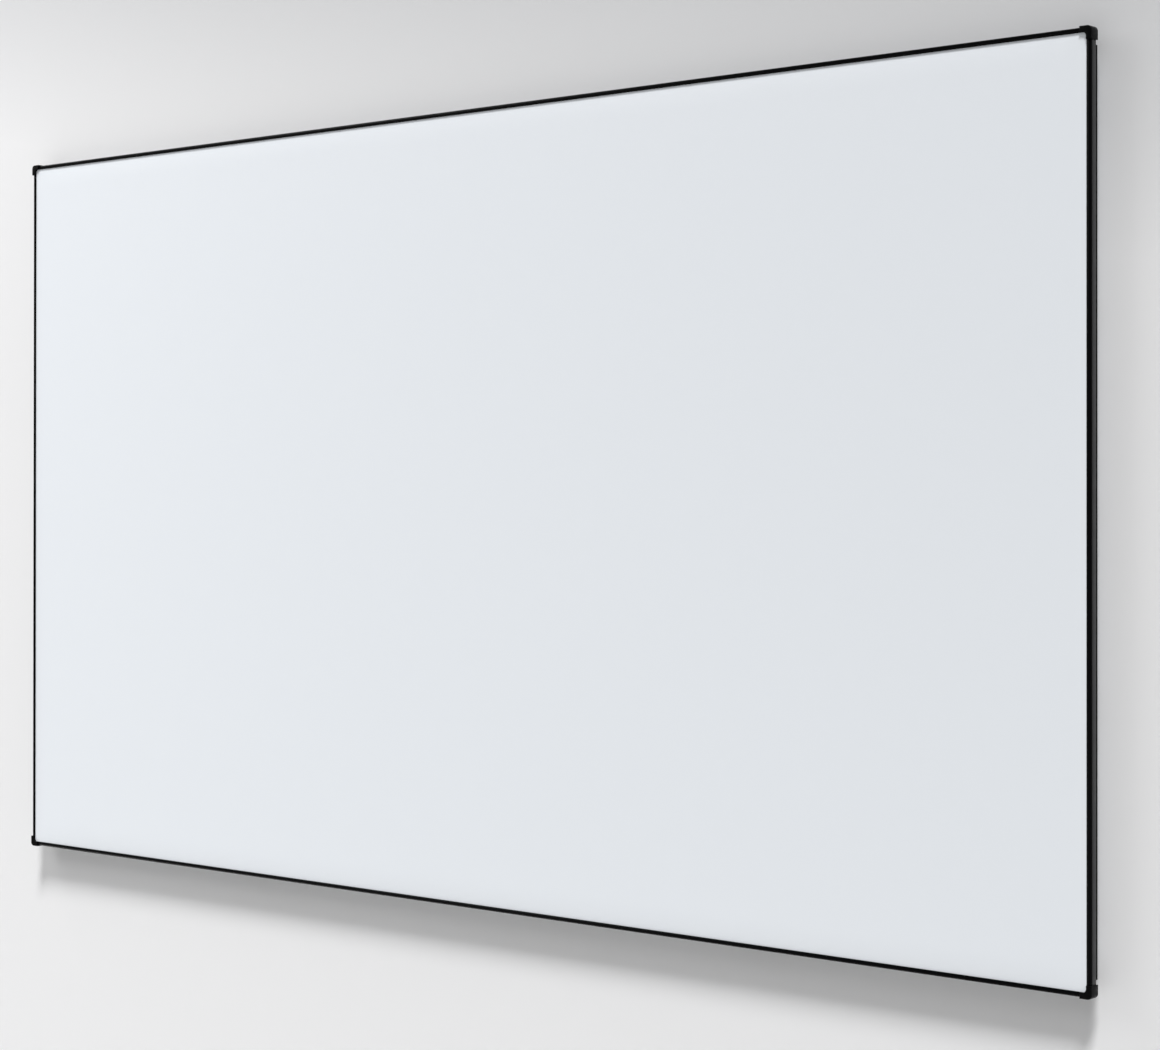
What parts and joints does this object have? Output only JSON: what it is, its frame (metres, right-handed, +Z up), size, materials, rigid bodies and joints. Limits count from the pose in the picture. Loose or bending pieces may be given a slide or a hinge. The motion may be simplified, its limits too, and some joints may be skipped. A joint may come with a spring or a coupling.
{
  "type": "fixed frame projector screen",
  "caption": "Wall-hung fixed frame projector screen: a white sheet spring-stretched over a slim rail frame, with narrow black edge trim and moulded corner caps.",
  "frame": {"origin": "middle of the whole screen's bounding box", "axes": "+X is to the right of someone who faces the picture, +Z is up, the picture faces -Y and the wall is on the +Y side"},
  "size_m": [2.231, 0.0402, 1.262],
  "materials": {
    "white_screen_film": "matte",
    "black_trim_aluminium": "satin",
    "black_anodised_aluminium": "satin",
    "black_moulded_plastic": "satin",
    "black_nylon": "matte",
    "black_coated_steel": "satin",
    "zinc_plated_steel": "satin",
    "spring_steel": "satin",
    "glass_fibre": "satin"
  },
  "bodies": {
    "root": {"rail_top_left": "black_anodised_aluminium", "rail_top_right": "black_anodised_aluminium", "rail_bottom_left": "black_anodised_aluminium", "rail_bottom_right": "black_anodised_aluminium", "rail_left": "black_anodised_aluminium", "rail_right": "black_anodised_aluminium", "corner_key_top_right": "zinc_plated_steel", "corner_key_bottom_right": "zinc_plated_steel", "corner_key_bottom_left": "zinc_plated_steel", "corner_key_top_left": "zinc_plated_steel", "splice_bar_top": "zinc_plated_steel", "splice_bar_bottom": "zinc_plated_steel", "screen_sheet": "white_screen_film", "tension_rod_top": "glass_fibre", "tension_rod_right": "glass_fibre", "tension_rod_bottom": "glass_fibre", "tension_rod_left": "glass_fibre", "spring_top_1": "spring_steel", "spring_top_2": "spring_steel", "spring_top_3": "spring_steel", "spring_top_4": "spring_steel", "spring_top_5": "spring_steel", "spring_top_6": "spring_steel", "spring_top_7": "spring_steel", "spring_top_8": "spring_steel", "spring_right_1": "spring_steel", "spring_right_2": "spring_steel", "spring_right_3": "spring_steel", "spring_right_4": "spring_steel", "spring_right_5": "spring_steel", "spring_bottom_1": "spring_steel", "spring_bottom_2": "spring_steel", "spring_bottom_3": "spring_steel", "spring_bottom_4": "spring_steel", "spring_bottom_5": "spring_steel", "spring_bottom_6": "spring_steel", "spring_bottom_7": "spring_steel", "spring_bottom_8": "spring_steel", "spring_left_1": "spring_steel", "spring_left_2": "spring_steel", "spring_left_3": "spring_steel", "spring_left_4": "spring_steel", "spring_left_5": "spring_steel", "trim_top": "black_trim_aluminium", "trim_right": "black_trim_aluminium", "trim_bottom": "black_trim_aluminium", "trim_left": "black_trim_aluminium", "corner_cap_top_right": "black_moulded_plastic", "corner_cap_bottom_right": "black_moulded_plastic", "corner_cap_bottom_left": "black_moulded_plastic", "corner_cap_top_left": "black_moulded_plastic", "support_bar": "black_anodised_aluminium", "support_clip_top": "black_nylon", "support_clip_bottom": "black_nylon", "wall_bracket_top_left": "black_coated_steel", "wall_bracket_top_right": "black_coated_steel", "wall_bracket_bottom_left": "black_coated_steel", "wall_bracket_bottom_right": "black_coated_steel"}
  },
  "joints": []
}
